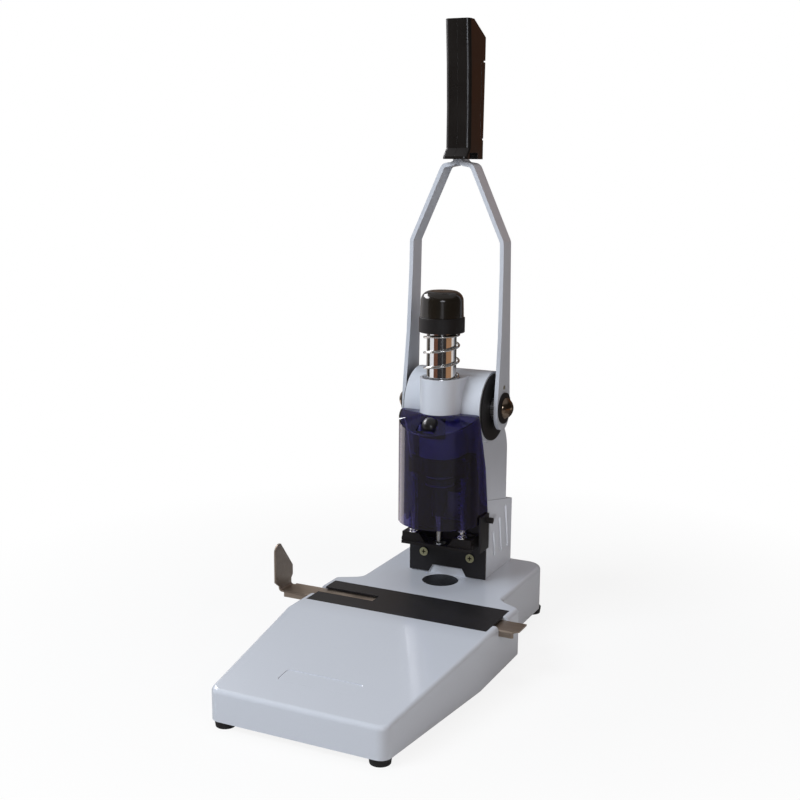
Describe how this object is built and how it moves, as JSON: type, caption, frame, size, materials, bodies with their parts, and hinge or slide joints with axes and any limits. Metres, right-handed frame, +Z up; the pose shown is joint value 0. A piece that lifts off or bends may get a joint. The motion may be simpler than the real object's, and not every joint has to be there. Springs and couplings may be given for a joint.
{
  "type": "electric hole punch",
  "caption": "Desk paper drill: a hand lever with a rack and pinion feeds a motor-driven hollow drill from a column through a stack held by a sprung presser foot, against a side gauge.",
  "frame": {"origin": "middle of the cutting pad's top face, which is level with the work table", "axes": "+X to the operator's right, +Y to the rear, towards the column, +Z up along the drill"},
  "size_m": [0.2534, 0.3932, 0.6042],
  "materials": {
    "white_paint": "semi-gloss white enamel",
    "black_paint": "semi-matt black enamel",
    "zinc_plate": "zinc plated sheet",
    "foot_rubber": "matt black rubber",
    "screw_steel": "nickel plated",
    "pad_plastic": "worn black nylon",
    "bare_bar": "bare rolled steel, slightly tarnished",
    "guard_tint": "clear moulding, tinted dark blue",
    "black_plastic": "fine moulded texture",
    "gloss_black": "polished moulding",
    "bronze": "sintered bronze",
    "board_green": "coated board",
    "shaft_steel": "ground steel",
    "dome_steel": "dark polished nickel",
    "hard_chrome": "polished hard chrome",
    "spring_wire": "bright spring wire",
    "alu": "turned",
    "magnet": "pressed ferrite",
    "copper": "laminated steel and copper windings",
    "dark_steel": "black oxide",
    "belt_rubber": "flat belt"
  },
  "bodies": {
    "base": {"base_casting": "white_paint", "bottom_plate": "zinc_plate", "rubber_feet": "foot_rubber", "foot_screws": "screw_steel", "gauge_strip": "black_paint", "column_cover": "white_paint", "head_casting": "white_paint", "column_screws": "screw_steel", "stop_plate": "black_paint", "stop_plate_screws": "screw_steel", "guard": "guard_tint", "guard_knob": "gloss_black", "thumb_screw": "black_plastic", "hub_discs": "black_plastic", "axle_bushes": "bronze", "power_inlet": "black_plastic", "switch_frame": "black_plastic", "control_board": "board_green", "return_spring": "spring_wire"},
    "pad": {"cutting_pad": "pad_plastic"},
    "gauge": {"gauge_bar": "bare_bar"},
    "rocker": {"switch_rocker": "gloss_black"},
    "lever": {"lever_axle": "shaft_steel", "pinion": "shaft_steel", "pinion_key": "shaft_steel", "arm_spacers": "shaft_steel", "lever_arm_left": "white_paint", "lever_arm_right": "white_paint", "arm_pins": "screw_steel", "arm_washers": "black_plastic", "dome_nuts": "dome_steel", "grip_left": "black_plastic", "grip_right": "black_plastic", "grip_screws": "screw_steel"},
    "carriage": {"quill": "hard_chrome", "stop_ring": "black_plastic", "chip_cap": "gloss_black", "buffer_ring": "foot_rubber", "carriage_plate": "black_paint", "spindle_bearings": "shaft_steel", "motor_posts": "alu", "motor_bracket": "black_paint", "motor_screws": "screw_steel", "motor_can": "zinc_plate", "motor_end_cap": "black_plastic", "motor_magnets": "magnet", "drive_belt": "belt_rubber", "presser_springs": "spring_wire"},
    "rotor": {"armature": "copper", "motor_pulley": "alu"},
    "spindle": {"spindle": "shaft_steel", "spindle_pulley": "alu", "drill_chuck": "dark_steel", "drill_bit": "shaft_steel"},
    "presser": {"presser_foot": "black_plastic", "clamp_screws": "black_plastic", "guide_rods": "hard_chrome", "rod_clips": "dark_steel"}
  },
  "joints": [
    {"name": "lever_swing", "type": "hinge", "parent": "base", "child": "lever", "pos_m": [0, 0.032, 0.1775], "axis": [1, 0, 0], "range_deg": [0, 90]},
    {"name": "quill_slide", "type": "slide", "parent": "base", "child": "carriage", "axis": [0, 0, -1], "range_m": [0, 0.0377], "stiffness_N_per_m": 1500, "springref_m": -0.03, "deforming": ["return_spring"]},
    {"name": "presser_slide", "type": "slide", "parent": "carriage", "child": "presser", "axis": [0, 0, 1], "range_m": [0, 0.03], "stiffness_N_per_m": 150, "springref_m": -0.02, "deforming": ["presser_springs"]},
    {"name": "motor_turn", "type": "hinge", "parent": "carriage", "child": "rotor", "pos_m": [0, 0.052, 0.09], "axis": [0, 0, 1], "continuous": true},
    {"name": "drill_turn", "type": "hinge", "parent": "carriage", "child": "spindle", "pos_m": [0, -0.0045, 0.11], "axis": [0, 0, 1], "continuous": true},
    {"name": "gauge_slide", "type": "slide", "parent": "base", "child": "gauge", "axis": [1, 0, 0], "range_m": [-0.08, 0.03]},
    {"name": "pad_turn", "type": "hinge", "parent": "base", "child": "pad", "pos_m": [0, 0, 0], "axis": [0, 0, 1], "continuous": true},
    {"name": "rocker_tip", "type": "hinge", "parent": "base", "child": "rocker", "pos_m": [-0.03855, 0.0979, -0.0248], "axis": [0, 0, 1], "range_deg": [0, 20]}
  ],
  "couplings": [
    {"joint": "quill_slide", "follows": "lever_swing", "m_per_rad": 0.024},
    {"joint": "drill_turn", "follows": "motor_turn", "ratio": 0.61538}
  ]
}
